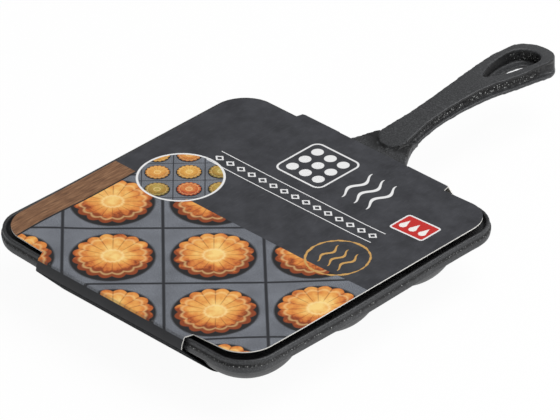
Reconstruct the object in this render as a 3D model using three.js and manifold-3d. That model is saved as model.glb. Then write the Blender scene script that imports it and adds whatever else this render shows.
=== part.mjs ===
// A cast-iron takoyaki plate with nine cups and a cast handle, in its creased cardboard sleeve.
// Millimetres, +Z up, +Y towards the handle. The origin is the middle of the sleeve's underside, on the
// table.
import * as THREE from "three";
import { mergeVertices } from "three/addons/utils/BufferGeometryUtils.js";
import Module from "manifold-3d";

// Driving sizes of the plate.
const edgeMargin = 4.8; // the outer cups' square cells to the foot of the recess's wall
const cornerRadius = 16.5;
const rimHeight = 7.2; // top to underside of the rim
const rimDraft = 0.5; // how far the rim's underside lies inside the parting line
const lipRound = 1.1; // rounding at the rim's outer top edge
const lipWidth = 2.6; // parting line to the recess at the top of the rim
const recessDepth = 3; // top of the rim down to the cooking surface
const recessDraft = 0.7;
const rimWall = 5.2; // thickness of the rim below the cooking surface
const webThickness = 3.5; // iron between the cups

// Driving sizes of the cups.
const cupsPerSide = 3;
const cupRadius = 20.5; // a cup is a half ball, so this is its depth too
const landWidth = 5; // between the edges of two cups
const cupFloor = 3; // thickness of iron under the middle of a cup
const cupWall = 3.9; // the ball outside a cup is larger by this, and its foot is cut flat
const cupOuterDrop = 1.2; // centre of the outer ball below the cooking surface
const grooveWidth = 2.4;
const grooveDepth = 1.2;
const grooveEndGap = 2.6; // end of a groove to the foot of the recess's wall

// Driving sizes of the handle.
const handleLength = 110.4; // parting line of the rim to the tip of the handle
const handleHalf = 10.8; // half the width of the top pad at its widest
const flangeOverhang = 0.7; // lower flange past the top pad
const channelDepth = 1.6;
const handleRise = 6.8; // highest point of the handle above the top of the rim
const handleDepth = 8.2; // thickness of the handle at its thickest
const padThicknessShare = 0.2;
const flangeThicknessShare = 0.22;
const padStart = 5; // first point of the top pad behind the rim
const padNose = 7.6; // length of the pad's rounded start
const noseStartShare = 0.3; // width of the nose at its first point
const rootHalf = 19.3; // half the width of the flared root, at the rim
const rootLength = 20.2; // rim to the end of the flared root, under the pad
const rootDrop = 2.4; // top of the flared root below the top of the rim
const rootLift = 0.5; // underside of the root above the underside of the rim
const holeRadius = 7.1;
const holePointLength = 23.9; // middle of the hole's round end to its pointed end
const holeEndWall = 7.2; // iron between the hole and the handle's tip
const holeShoulderShare = 0.75; // how far towards its point the hole keeps its full width
const holeLedge = 3.2; // how far the lower flange stands into the hole

// Driving sizes of the sleeve.
const cardThickness = 0.5;
const fitGap = 0.3; // between pieces that rest on each other
const cardSetback = 3.25; // parting line of the rim to the edge of the card
const cardCornerRadius = 14;
const cardShiftX = 0.5; // the card lies a little off the plate's middle
const cardShiftY = 0.05;
const strapHalf = 42.6;
const strapShift = 0.9;
const wideShoulder = 2.6; // how much wider the card is than the strap, at the front left
const narrowShoulder = 0.9; // and at the other three places
const frontFoldGap = 1.1; // parting line to the outside of the front crease
const frontWallLean = 1;
const frontWallHeight = 7.9;
const rearTabHeight = 14.3;
const rearTabFlare = 2.7;
const tabCornerRadius = 2;
const slotMargin = 0.9; // handle root to the edge of each rear tab
const glueStripHeight = 5.2;
const overrun = 1; // how far cutting shapes pass the faces they cut
const weld = 0.6; // how far joined shapes reach into each other
const mergeTolerance = 1e-4;

// Curve divisions.
const cornerSteps = 8;
const lipSteps = 3;
const roundSteps = 24;
const arcSteps = 6;
const bendSteps = 4;

const cupPitch = 2 * cupRadius + landWidth;
const cupOuterRadius = cupRadius + cupWall;
const plateHalf = (cupsPerSide * cupPitch) / 2 + edgeMargin + recessDraft + lipWidth; // at the parting line
const handleReach = plateHalf + handleLength;
const holeY = handleReach - holeEndWall - holeRadius; // middle of the hole's round end
const cardHalf = plateHalf - cardSetback;

const cupFlatZ = cardThickness + fitGap;
const cupFootZ = cupFlatZ + cupFloor;
const rimTopZ = cupFootZ + cupRadius + recessDepth;
const rimBottomZ = rimTopZ - rimHeight;
const cookingZ = rimTopZ - recessDepth;
const cardUnderZ = rimTopZ + fitGap;
const cardTopZ = cardUnderZ + cardThickness;
const cupOuterZ = cookingZ - cupOuterDrop;

const wasm = await Module();
wasm.setup();

// A closed three.js geometry as a solid that can be joined and cut.
function solid(geometry) {
  const plain = geometry.clone();
  plain.deleteAttribute("normal");
  plain.deleteAttribute("uv");
  const merged = mergeVertices(plain, mergeTolerance);
  const vertProperties = new Float32Array(merged.attributes.position.array);
  const triVerts = new Uint32Array(merged.index.array);
  return new wasm.Manifold(new wasm.Mesh({ numProp: 3, vertProperties, triVerts }));
}

function geometryOf(manifold) {
  const mesh = manifold.getMesh();
  const geometry = new THREE.BufferGeometry();
  geometry.setAttribute("position", new THREE.BufferAttribute(mesh.vertProperties, 3));
  geometry.setIndex(new THREE.BufferAttribute(mesh.triVerts, 1));
  geometry.computeVertexNormals();
  return geometry;
}

// A closed skin over rings of points: ring k is joined to ring k + 1, and both ends are capped.
function skin(rings) {
  const count = rings[0].length;
  const position = rings.flat().flatMap((p) => [p.x, p.y, p.z]);
  const index = [];
  for (let k = 0; k + 1 < rings.length; k++) {
    for (let i = 0; i < count; i++) {
      const a = k * count + i;
      const b = k * count + ((i + 1) % count);
      index.push(a, b, b + count, a, b + count, a + count);
    }
  }
  const cap = (ring) => THREE.ShapeUtils.triangulateShape(flatten(ring), []);
  const last = (rings.length - 1) * count;
  for (const [a, b, c] of cap(rings[0])) index.push(a, c, b);
  for (const [a, b, c] of cap(rings[rings.length - 1])) index.push(last + a, last + b, last + c);
  const geometry = new THREE.BufferGeometry();
  geometry.setAttribute("position", new THREE.Float32BufferAttribute(position, 3));
  geometry.setIndex(index);
  return geometry;
}

// A ring that lies square to Z or to Y, as flat points that turn anticlockwise seen from its far side.
function flatten(ring) {
  const level = ring.every((p) => p.z === ring[0].z);
  return ring.map((p) => (level ? new THREE.Vector2(p.x, p.y) : new THREE.Vector2(p.z, p.x)));
}

// The corner points of a square with rounded corners, anticlockwise from the right side of the front.
function roundedSquare(half, radius) {
  const points = [];
  const quarters = [
    [1, -1],
    [1, 1],
    [-1, 1],
    [-1, -1],
  ];
  quarters.forEach(([sx, sy], quarter) => {
    for (let i = 0; i <= cornerSteps; i++) {
      const angle = (quarter - 1 + i / cornerSteps) * (Math.PI / 2);
      const x = sx * (half - radius) + radius * Math.cos(angle);
      const y = sy * (half - radius) + radius * Math.sin(angle);
      points.push(new THREE.Vector2(x, y));
    }
  });
  return points;
}

// A ring round the plate at the height z. Its corners lie inside the parting line by as much as its sides.
function level(half, z) {
  const radius = cornerRadius - (plateHalf - half);
  return roundedSquare(half, radius).map((p) => new THREE.Vector3(p.x, p.y, z));
}

// The slab of the plate with its rim, before the recess and the cups are cut.
function rimBlock() {
  const rings = [level(plateHalf - rimDraft, rimBottomZ)];
  for (let i = 0; i <= lipSteps; i++) {
    const angle = (i / lipSteps) * (Math.PI / 2);
    const inset = lipRound * (1 - Math.cos(angle));
    rings.push(level(plateHalf - inset, rimTopZ - lipRound * (1 - Math.sin(angle))));
  }
  return skin(rings);
}

function recess() {
  const top = plateHalf - lipWidth;
  const slope = recessDraft / recessDepth;
  return skin([
    level(top - recessDraft, cookingZ),
    level(top + slope * overrun, rimTopZ + overrun),
  ]);
}

// The rim reaches lower than the web between the cups, so the underside is cut back inside the rim.
function webRelief() {
  const inner = plateHalf - rimWall;
  return skin([
    level(inner, rimBottomZ - overrun),
    level(inner - recessDraft, cookingZ - webThickness),
  ]);
}

// A ball about (0, 0, centreZ) with its foot cut flat at footZ, closed above by a flat top.
function ball(radius, centreZ, footZ, topZ) {
  const start = Math.acos(Math.min(1, (centreZ - footZ) / radius));
  const profile = [new THREE.Vector2(0, footZ)];
  for (let i = start > 0 ? 0 : 1; i <= arcSteps; i++) {
    const angle = start + ((Math.PI / 2 - start) * i) / arcSteps;
    profile.push(new THREE.Vector2(radius * Math.sin(angle), centreZ - radius * Math.cos(angle)));
  }
  if (topZ > centreZ) profile.push(new THREE.Vector2(radius, topZ));
  profile.push(new THREE.Vector2(0, topZ));
  return new THREE.LatheGeometry(profile, roundSteps).rotateX(Math.PI / 2);
}

function cupPlaces() {
  const places = [];
  const middle = (cupsPerSide - 1) / 2;
  for (let column = 0; column < cupsPerSide; column++) {
    for (let row = 0; row < cupsPerSide; row++) {
      places.push({ x: (column - middle) * cupPitch, y: (row - middle) * cupPitch });
    }
  }
  return places;
}

// The grooves that part the cups' square cells, along both ways of the cooking surface.
function grooves() {
  const length = 2 * (plateHalf - lipWidth - recessDraft - grooveEndGap);
  const height = grooveDepth + overrun;
  const cuts = [];
  for (let i = 1; i < cupsPerSide; i++) {
    const offset = (i - cupsPerSide / 2) * cupPitch;
    const z = cookingZ - grooveDepth + height / 2;
    cuts.push(new THREE.BoxGeometry(grooveWidth, length, height).translate(offset, 0, z));
    cuts.push(new THREE.BoxGeometry(length, grooveWidth, height).translate(0, offset, z));
  }
  return cuts;
}

// Along the handle, from the rim to its tip. Each row holds shares: of the handle's length, of the pad's
// half width before the tip rounds it, of the rise of the top, and of the thickness.
const handleShares = [
  [0.0, 0.9, -0.25, 0.695],
  [0.045, 0.81, -0.1, 0.68],
  [0.07, 0.755, 0.03, 0.68],
  [0.12, 0.71, 0.25, 0.7],
  [0.17, 0.645, 0.4, 0.76],
  [0.22, 0.575, 0.52, 0.74],
  [0.3, 0.53, 0.68, 0.72],
  [0.4, 0.545, 0.84, 0.74],
  [0.5, 0.605, 0.955, 0.8],
  [0.6, 0.71, 1.0, 0.83],
  [0.67, 0.835, 0.94, 0.83],
  [0.73, 0.93, 0.88, 0.84],
  [0.8, 0.99, 0.845, 0.88],
  [0.86, 1.0, 0.82, 0.95],
  [0.9, 1.0, 0.79, 1.0],
  [1.0, 1.0, 0.6, 0.95],
];

function handleAt(share) {
  const rows = handleShares;
  const within = Math.min(share, rows.at(-1)[0]);
  const next = Math.max(1, rows.findIndex((row) => row[0] >= within));
  const [from, to] = [rows[next - 1], rows[next]];
  const t = (within - from[0]) / (to[0] - from[0]);
  const [, half, rise, depth] = from.map((value, i) => value + t * (to[i] - value));
  return { half: half * handleHalf, top: rimTopZ + rise * handleRise, depth: depth * handleDepth };
}

// A layer of the handle from startShare to the tip: halfAt gives its half width, and lowShare and highShare
// are shares of the handle's thickness, down from its top.
function handleLayer(startShare, halfAt, lowShare, highShare) {
  const tipHalf = halfAt(handleShares.at(-1)[0]);
  const tipCentre = handleReach - tipHalf;
  const stations = [];
  for (const [share] of handleShares.filter(([s]) => s > startShare)) {
    const y = plateHalf + share * handleLength;
    if (y < tipCentre) stations.push({ y, half: halfAt(share) });
  }
  const first = plateHalf + startShare * handleLength;
  stations.unshift({ y: first, half: halfAt(startShare) });
  for (let i = 0; i < cornerSteps; i++) {
    const angle = (i / cornerSteps) * (Math.PI / 2);
    stations.push({ y: tipCentre + tipHalf * Math.sin(angle), half: tipHalf * Math.cos(angle) });
  }
  return skin(
    stations.map(({ y, half }) => {
      const { top, depth } = handleAt((y - plateHalf) / handleLength);
      const lowZ = top - lowShare * depth;
      const highZ = top - highShare * depth;
      return [
        new THREE.Vector3(-half, y, lowZ),
        new THREE.Vector3(-half, y, highZ),
        new THREE.Vector3(half, y, highZ),
        new THREE.Vector3(half, y, lowZ),
      ];
    }),
  );
}

// Each row holds shares of the flared root's length and of its half width at the rim.
const flareShares = [
  [0, 1],
  [0.16, 0.86],
  [0.32, 0.73],
  [0.48, 0.62],
  [0.66, 0.52],
  [0.84, 0.45],
  [1, 0.41],
];

// The flared root of the handle, which runs out of the rim and under the rounded start of the top pad.
function handleRoot() {
  const end = handleAt(rootLength / handleLength);
  const endTopZ = end.top - (1 - flangeThicknessShare) * end.depth + weld;
  const endLowZ = end.top - end.depth;
  const ring = (y, share, widthShare) => {
    const half = widthShare * rootHalf;
    const topZ = THREE.MathUtils.lerp(rimTopZ - rootDrop, endTopZ, share ** 2);
    const lowZ = THREE.MathUtils.lerp(rimBottomZ + rootLift, endLowZ, Math.sqrt(share));
    return [
      new THREE.Vector3(-half, y, lowZ),
      new THREE.Vector3(-half, y, topZ),
      new THREE.Vector3(half, y, topZ),
      new THREE.Vector3(half, y, lowZ),
    ];
  };
  const rings = [ring(plateHalf - rimDraft - weld, 0, 1)];
  for (const [share, widthShare] of flareShares) {
    rings.push(ring(plateHalf + share * rootLength, share, widthShare));
  }
  return skin(rings);
}

// Half the width of the top pad, which begins with a round nose on the flared root.
function padHalfAt(share) {
  const into = Math.min(1, (share * handleLength - padStart) / padNose);
  return handleAt(share).half * Math.max(noseStartShare, Math.sqrt(1 - (1 - into) ** 2));
}

// A drop-shaped cutter from lowZ up: round at its far end, with full sides that meet in a point towards the
// plate. It is smaller than the hole by the inset.
function dropCutter(inset, lowZ) {
  const radius = holeRadius - inset;
  const pointY = 2 * inset - holePointLength;
  const shoulderY = holeShoulderShare * pointY;
  const shape = new THREE.Shape();
  shape.moveTo(0, pointY);
  shape.quadraticCurveTo(radius, shoulderY, radius, 0);
  shape.absarc(0, 0, radius, 0, Math.PI);
  shape.quadraticCurveTo(-radius, shoulderY, 0, pointY);
  const height = rimTopZ + handleRise + overrun - lowZ;
  const options = { depth: height, bevelEnabled: false, curveSegments: cornerSteps };
  return new THREE.ExtrudeGeometry(shape, options).translate(0, holeY, lowZ);
}

// The hanging hole: full size down to a ledge, which is the top of the lower flange, and smaller through it.
function hangingHole() {
  const { top, depth } = handleAt((holeY - plateHalf) / handleLength);
  const ledgeZ = top - (1 - flangeThicknessShare) * depth;
  const through = solid(dropCutter(holeLedge, rimTopZ - handleDepth));
  return solid(dropCutter(0, ledgeZ)).add(through);
}

// The handle's section is a wide I: top pad, web with a shallow channel on each side, and lower flange.
function handle() {
  const padShare = padStart / handleLength;
  const flangeShare = (padStart + padNose / 2) / handleLength;
  const webHalf = (share) => padHalfAt(share) - channelDepth;
  const flangeHalf = (share) => handleAt(share).half + flangeOverhang;
  const pad = handleLayer(padShare, padHalfAt, padThicknessShare, 0);
  const web = handleLayer(padShare, webHalf, 1 - flangeThicknessShare / 2, padThicknessShare / 2);
  const flange = handleLayer(flangeShare, flangeHalf, 1, 1 - flangeThicknessShare);
  return solid(pad).add(solid(web)).add(solid(flange)).add(solid(handleRoot()));
}

function castPlate() {
  const webMiddleZ = cookingZ - webThickness / 2;
  let plate = solid(rimBlock()).subtract(solid(webRelief()));
  for (const { x, y } of cupPlaces()) {
    const bulge = ball(cupOuterRadius, cupOuterZ, cupFlatZ, webMiddleZ);
    plate = plate.add(solid(bulge.translate(x, y, 0)));
  }
  plate = plate.subtract(solid(recess()));
  for (const { x, y } of cupPlaces()) {
    const hollow = ball(cupRadius, cupFootZ + cupRadius, cupFootZ, rimTopZ + overrun);
    plate = plate.subtract(solid(hollow.translate(x, y, 0)));
  }
  for (const cut of grooves()) plate = plate.subtract(solid(cut));
  return plate.add(handle()).subtract(hangingHole());
}

const frontFoldY = -(plateHalf + frontFoldGap);
const rearFoldY = plateHalf + fitGap + cardThickness;
const strapLeft = strapShift - strapHalf;
const strapRight = strapShift + strapHalf;

// The printed top panel: a square card with round corners, with the strap's width at its two creases.
function topPanel() {
  const shift = new THREE.Vector2(cardShiftX, cardShiftY);
  const outline = roundedSquare(cardHalf, cardCornerRadius).map((point) => point.add(shift));
  const frontEdgeY = cardShiftY - cardHalf;
  const rearEdgeY = cardShiftY + cardHalf;
  const points = [
    new THREE.Vector2(strapLeft - wideShoulder, frontEdgeY),
    new THREE.Vector2(strapLeft, frontFoldY),
    new THREE.Vector2(strapRight, frontFoldY),
    new THREE.Vector2(strapRight + narrowShoulder, frontEdgeY),
    ...outline.slice(0, outline.length / 2),
    new THREE.Vector2(strapRight + narrowShoulder, rearEdgeY),
    new THREE.Vector2(strapRight, rearFoldY),
    new THREE.Vector2(strapLeft, rearFoldY),
    new THREE.Vector2(strapLeft - narrowShoulder, rearEdgeY),
    ...outline.slice(outline.length / 2),
  ];
  const options = { depth: cardThickness, bevelEnabled: false };
  return new THREE.ExtrudeGeometry(new THREE.Shape(points), options).translate(0, 0, cardUnderZ);
}

// A profile in Y and Z, drawn out along X between two places.
function alongX(points, fromX, toX) {
  const shape = new THREE.Shape(points.map(({ y, z }) => new THREE.Vector2(y, z)));
  const geometry = new THREE.ExtrudeGeometry(shape, { depth: toX - fromX, bevelEnabled: false });
  const turn = new THREE.Matrix4().makeBasis(
    new THREE.Vector3(0, 1, 0),
    new THREE.Vector3(0, 0, 1),
    new THREE.Vector3(1, 0, 0),
  );
  return geometry.applyMatrix4(turn).translate(fromX, 0, 0);
}

const frontCreaseY = frontFoldY - frontWallLean;
const frontCreaseZ = cardTopZ - frontWallHeight;

// The front wall leans out a little towards its lower crease.
function frontWall() {
  const topZ = cardUnderZ - fitGap;
  const bottomZ = frontCreaseZ + fitGap;
  const outerY = (z) => THREE.MathUtils.mapLinear(z, cardTopZ, frontCreaseZ, frontFoldY, frontCreaseY);
  const profile = [
    { y: outerY(topZ), z: topZ },
    { y: outerY(bottomZ), z: bottomZ },
    { y: outerY(bottomZ) + cardThickness, z: bottomZ },
    { y: outerY(topZ) + cardThickness, z: topZ },
  ];
  return alongX(profile, strapLeft, strapRight);
}

// The path of the strap's upper face from a crease down to the flat stretch under the cups, as it lies
// against the outermost row of cups. side is -1 at the front and 1 at the rear.
function strapSide(creaseY, creaseZ, side) {
  const cupY = side * ((cupsPerSide - 1) / 2) * cupPitch;
  const radius = cupOuterRadius + fitGap;
  const across = side * (creaseY - cupY);
  const down = cupOuterZ - creaseZ;
  const distance = Math.hypot(across, down);
  const tangent = Math.atan2(across, down) - Math.acos(radius / distance);
  const flat = Math.acos((cupOuterZ - cardThickness) / radius);
  const path = [{ y: creaseY, z: creaseZ }];
  for (let i = 0; i <= bendSteps; i++) {
    const angle = tangent + ((flat - tangent) * i) / bendSteps;
    path.push({ y: cupY + side * radius * Math.sin(angle), z: cupOuterZ - radius * Math.cos(angle) });
  }
  return path;
}

// A strip of card with one face along the path and its thickness on the path's right-hand side.
function strip(path) {
  const lower = path.map((point, i) => {
    const before = path[Math.max(0, i - 1)];
    const after = path[Math.min(path.length - 1, i + 1)];
    const length = Math.hypot(after.y - before.y, after.z - before.z);
    return {
      y: point.y + ((after.z - before.z) / length) * cardThickness,
      z: Math.max(0, point.z - ((after.y - before.y) / length) * cardThickness),
    };
  });
  return [...lower, ...path.toReversed()];
}

const glueCreaseY = plateHalf - cardThickness;
const glueCreaseZ = rimBottomZ - fitGap - glueStripHeight;

// The strap under the cups, one bent strip of card from the front crease to the glue strip.
function underPanel() {
  const front = strapSide(frontCreaseY + cardThickness, frontCreaseZ, -1);
  const rear = strapSide(glueCreaseY - fitGap, glueCreaseZ - fitGap, 1).toReversed();
  return alongX(strip([...front, ...rear]), strapLeft, strapRight);
}

// The turned-up end of the strap, which is glued to the inside of the rear tabs.
function glueStrip() {
  const geometry = new THREE.BoxGeometry(2 * strapHalf, cardThickness, glueStripHeight);
  return geometry.translate(strapShift, glueCreaseY + cardThickness / 2, glueCreaseZ + glueStripHeight / 2);
}

// A rear tab stands beside the handle's root. side is -1 for the left tab and 1 for the right one.
function rearTab(side) {
  const inner = rootHalf + slotMargin;
  const outer = side * strapShift + strapHalf;
  const topZ = cardUnderZ - fitGap;
  const bottomZ = topZ - rearTabHeight;
  const flareZ = topZ - rearTabFlare;
  const shape = new THREE.Shape();
  shape.moveTo(inner, bottomZ);
  shape.lineTo(outer + rearTabFlare - tabCornerRadius, bottomZ);
  const centre = { x: outer + rearTabFlare - tabCornerRadius, z: bottomZ + tabCornerRadius };
  shape.absarc(centre.x, centre.z, tabCornerRadius, -Math.PI / 2, 0);
  shape.lineTo(outer + rearTabFlare, flareZ);
  shape.lineTo(outer, topZ);
  shape.lineTo(inner, topZ);
  const options = { depth: cardThickness, bevelEnabled: false, curveSegments: bendSteps };
  const geometry = new THREE.ExtrudeGeometry(shape, options).rotateX(Math.PI / 2);
  if (side < 0) geometry.rotateZ(Math.PI).translate(0, -cardThickness, 0);
  return geometry.translate(0, rearFoldY, 0);
}

function finish(color, roughness, metalness) {
  return new THREE.MeshStandardMaterial({ color, roughness, metalness });
}

const castIron = () => finish(0x3a3a3b, 0.62, 0.5);
const printedCard = () => finish(0x3f4046, 0.55, 0);
const rawCard = () => finish(0xb9b6af, 0.9, 0);

function named(name, geometry, material) {
  const mesh = new THREE.Mesh(geometry, material);
  mesh.name = name;
  return mesh;
}

const plate = new THREE.Group();
plate.add(named("cast_iron_plate", geometryOf(castPlate()), castIron()));

const sleeve = new THREE.Group();
sleeve.add(named("sleeve_top_panel", topPanel(), printedCard()));
sleeve.add(named("sleeve_front_wall", frontWall(), printedCard()));
sleeve.add(named("sleeve_under_panel", underPanel(), rawCard()));
sleeve.add(named("sleeve_glue_strip", glueStrip(), rawCard()));
sleeve.add(named("sleeve_rear_tab_left", rearTab(-1), printedCard()));
sleeve.add(named("sleeve_rear_tab_right", rearTab(1), printedCard()));

const takoyakiPlate = new THREE.Group();
takoyakiPlate.add(plate, sleeve);

export default takoyakiPlate;
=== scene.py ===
"""A cast-iron takoyaki plate with nine cups and a cast handle, in its printed card sleeve."""
import contextlib
import functools
import math

import bmesh
import bpy
import numpy as np
from mathutils import Matrix, Vector


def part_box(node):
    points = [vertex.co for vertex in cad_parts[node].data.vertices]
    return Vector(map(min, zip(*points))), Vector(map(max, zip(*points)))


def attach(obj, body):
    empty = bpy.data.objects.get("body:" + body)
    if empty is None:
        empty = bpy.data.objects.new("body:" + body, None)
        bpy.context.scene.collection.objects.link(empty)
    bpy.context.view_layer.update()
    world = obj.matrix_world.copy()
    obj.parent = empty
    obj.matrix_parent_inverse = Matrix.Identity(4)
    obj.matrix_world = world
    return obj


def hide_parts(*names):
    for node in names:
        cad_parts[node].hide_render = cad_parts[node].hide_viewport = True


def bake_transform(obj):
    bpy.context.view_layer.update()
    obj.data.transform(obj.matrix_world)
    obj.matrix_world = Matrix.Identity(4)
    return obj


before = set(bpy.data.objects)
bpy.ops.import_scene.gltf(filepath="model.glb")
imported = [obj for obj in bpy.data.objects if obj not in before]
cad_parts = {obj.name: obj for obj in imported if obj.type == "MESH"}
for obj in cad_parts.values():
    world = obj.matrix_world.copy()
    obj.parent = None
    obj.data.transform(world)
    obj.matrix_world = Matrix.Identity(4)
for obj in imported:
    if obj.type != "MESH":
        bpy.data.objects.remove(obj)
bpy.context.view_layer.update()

MM = 0.001
plate_low, plate_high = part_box("cast_iron_plate")
panel_low, panel_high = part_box("sleeve_top_panel")
strap_low, strap_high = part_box("sleeve_under_panel")
glue_low, glue_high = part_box("sleeve_glue_strip")

# Sizes of the casting.
FIT_GAP = 0.3 * MM
PLATE_HALF = plate_high.x
PLATE_LEVEL = panel_low.z - FIT_GAP  # what the cooking surface and the handle are measured from
RIM_TOP = PLATE_LEVEL - 0.5 * MM
RIM_BOTTOM = PLATE_LEVEL - 7.2 * MM
RIM_MIDDLE = (RIM_TOP + RIM_BOTTOM) / 2
CORNER_RADIUS = 16.5 * MM
CORNER_STEPS = 24
SEAM = RIM_TOP - 2.6 * MM  # where the two halves of the mould met
SEAM_STEP = 0.5 * MM  # how far the rim stands out more under the seam than over it
SEAM_REACH = 0.2 * MM
SEAM_HALF_HEIGHT = 0.45 * MM
RIM_DRAFT = 0.4 * MM
LIP_WIDTH = 2.1 * MM
RECESS_DEPTH = 3 * MM
RECESS_DRAFT = 0.7 * MM
RIM_WALL = 5.2 * MM
WEB_THICKNESS = 3.5 * MM
CUP_RADIUS = 20.5 * MM
CUP_PITCH = 46 * MM
CUP_OUTER_RADIUS = 24.4 * MM
CUP_OUTER_DROP = 1.2 * MM
CUP_FLOOR = 3 * MM
BALL_STEPS = 64
BALL_RINGS = 48
GROOVE_WIDTH = 2.4 * MM
GROOVE_DEPTH = 1.2 * MM
GROOVE_END_GAP = 2.6 * MM
CUP_FLAT = plate_low.z
CUP_FOOT = CUP_FLAT + CUP_FLOOR
COOKING = PLATE_LEVEL - RECESS_DEPTH
WEB_BOTTOM = COOKING - WEB_THICKNESS
OVERRUN = 1 * MM

# Sizes of the handle.
HANDLE_TIP = plate_high.y
HANDLE_LENGTH = HANDLE_TIP - PLATE_HALF
HANDLE_HALF = 10.8 * MM
HANDLE_RISE = 6.8 * MM
HANDLE_DEPTH = 8.2 * MM
FLANGE_OVERHANG = 0.7 * MM
CHANNEL_DEPTH = 1.9 * MM
CHANNEL_END = 3.6 * MM  # the channels stop this far from the tip
POCKET_LENGTH = 15 * MM  # tip to where the channels turn from smooth to coarse
NECK_LENGTH = 40 * MM  # rim to where the channels reach their full coarseness
PAD_START = 7.2 * MM
PAD_NOSE = 7.6 * MM
PAD_EDGE = PLATE_HALF + PAD_START
ROOT_HALF = 19.3 * MM
ROOT_LENGTH = 20.2 * MM
ROOT_DROP = 2.4 * MM
ROOT_CROWN = 2.6 * MM
ROOT_LIFT = 0.5 * MM
HOLE_RADIUS = 7.1 * MM
HOLE_END_WALL = 7.2 * MM
HOLE_CENTRE = HANDLE_TIP - HOLE_END_WALL - HOLE_RADIUS  # of the drop's round end, along Y
HOLE_FAR_WALL = HOLE_CENTRE - 0.3 * HOLE_RADIUS  # the hole's wall shows its coarse skin from here to the tip
HOLE_POINT_LENGTH = 26.5 * MM
HOLE_FULL = 2.2  # powers that give the drop its full sides and its point
HOLE_POINTED = 0.8
HOLE_STEPS = 96
HOLE_LEDGE = 3.7 * MM  # how far the lower flange stands into the hole
STATION_STEP = 3 * MM
NOSE_STEP = STATION_STEP / 3
TIP_STEP_DEGREES = 8
NOSE_START_SHARE = 0.25  # the blunt end of the pad's nose, as a share of the pad's width
PAD_THICKNESS_SHARE = 0.2
FLANGE_THICKNESS_SHARE = 0.22

# Along the handle, from the rim to its tip. Each row holds shares: of the handle's length, of the pad's half
# width before the tip rounds it, of the rise of the top, and of the thickness.
HANDLE_SHARES = (
    (0.0, 0.9, -0.25, 0.695),
    (0.045, 0.81, -0.1, 0.68),
    (0.07, 0.755, 0.03, 0.68),
    (0.12, 0.71, 0.25, 0.7),
    (0.17, 0.645, 0.4, 0.76),
    (0.22, 0.575, 0.52, 0.74),
    (0.3, 0.53, 0.68, 0.72),
    (0.4, 0.545, 0.84, 0.74),
    (0.5, 0.605, 0.955, 0.8),
    (0.6, 0.71, 1.0, 0.83),
    (0.67, 0.835, 0.94, 0.83),
    (0.73, 0.93, 0.88, 0.84),
    (0.8, 0.99, 0.845, 0.88),
    (0.86, 1.0, 0.82, 0.95),
    (0.9, 1.0, 0.79, 1.0),
    (1.0, 1.0, 0.6, 0.95),
)
# Along the root: shares of its length and of its half width.
ROOT_SHARES = ((0, 1), (0.16, 0.86), (0.32, 0.73), (0.48, 0.62), (0.66, 0.52), (0.84, 0.45), (1, 0.41))

# Where the casting is coarse, and where shade is painted dark on it. Each share is of the handle's thickness,
# from its top down.
COARSE_CHANNEL_SHARES = (PAD_THICKNESS_SHARE + 0.03, 1 - FLANGE_THICKNESS_SHARE - 0.02)
COARSE_HOLE_SHARES = (0.14, 0.68)
COARSE_NOSE = (-0.4 * MM, 2.4 * MM)  # distance outside the pad's nose
NECK_COARSE = 0.35  # how coarse the channels are at the rim; further on they are fully coarse
SEAM_COARSE = 0.9
SHADE_EDGE_SHARES = (0.03, PAD_THICKNESS_SHARE + 0.16)
SHADE_POCKET_SHARES = (0.07, 0.7)
SHADE_HOLE_SHARES = (0.1, 0.74)
SHADE_NOSE = (-0.3 * MM, 1.1 * MM)
# How far the iron goes towards its painted shade tone in each place; in the cups this is partly the plate's
# darker coating.
PAINTED_SHADE_DARKNESS = {"cups": 0.55, "over_seam": 0.6, "pocket": 0.5, "under_edge": 0.8, "far_wall": 0.3, "hole": 0.85,
             "crevice": 0.85}

# The skin of the casting.
FINE_VOXEL = 0.5 * MM
EDGE_SMOOTHING = 4
UNDERSIDE_SMOOTHING = 25
CASTING_TRIANGLES = 180000
# Noises that move the skin: the size of their grain and their height.
SKIN_NOISES = {
    "waves": (12 * MM, 0.07 * MM),
    "sand": (0.9 * MM, 0.9 * MM),
    "seam": (0.8 * MM, 2 * SEAM_REACH),
}
# Where the casting came out a little out of true: the place, how far it moved and how far that reaches.
CASTING_WARPS = (
    ((0, HANDLE_TIP, PLATE_LEVEL), (0.5 * MM, 0, -0.9 * MM), 30 * MM),
    ((-PLATE_HALF, -PLATE_HALF, RIM_MIDDLE), (0.3 * MM, 0.3 * MM, 0.9 * MM), 45 * MM),
    ((PLATE_HALF, PLATE_HALF, RIM_MIDDLE), (0.8 * MM, 0.2 * MM, 0), 20 * MM),
    ((PLATE_HALF, -10 * MM, RIM_MIDDLE), (0, 0, -0.8 * MM), 55 * MM),
)

# Sizes of the sleeve.
CARD = panel_high.z - panel_low.z
CARD_TOP = panel_high.z
CARD_CORNER = 14 * MM
CARD_SETBACK = 3.25 * MM  # seam of the rim to the edge of the card
CARD_SHIFT = Vector((0.5, 0.05)) * MM
FRONT_FOLD = panel_low.y
REAR_FOLD = panel_high.y + 0.35 * MM
FOLD_RADIUS = 0.8 * MM
FOLD_STEPS = 5
FOLD_SMOOTH_DEGREES = 40
STRAP_LEFT = strap_low.x
STRAP_RIGHT = strap_high.x
WALL_LEAN = 1 * MM
WALL_HEIGHT = 6.6 * MM
WALL_LEFT = STRAP_LEFT - 0.5 * MM
WALL_RIGHT = STRAP_RIGHT - 0.4 * MM
WALL_BULGE = 0.35 * MM
WALL_SKEW = 0.6 * MM  # how far the lower front crease lies to the left of the upper one
FRONT_CREASE = (FRONT_FOLD - WALL_LEAN, CARD_TOP - WALL_HEIGHT)
REAR_CREASE = (glue_high.y - CARD, glue_low.z - FIT_GAP)
WIDE_SHOULDER = 2.6 * MM  # how much wider the card is than the strap, at the front left
NARROW_SHOULDER = 0.9 * MM  # and at the other three places
TAB_CORNER = 2 * MM
TAB_FLARE = 2.7 * MM
TAB_FLARE_SLOPE = 1.2
GRID_CUTS = 56
STRIP_CUTS = 32
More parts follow.
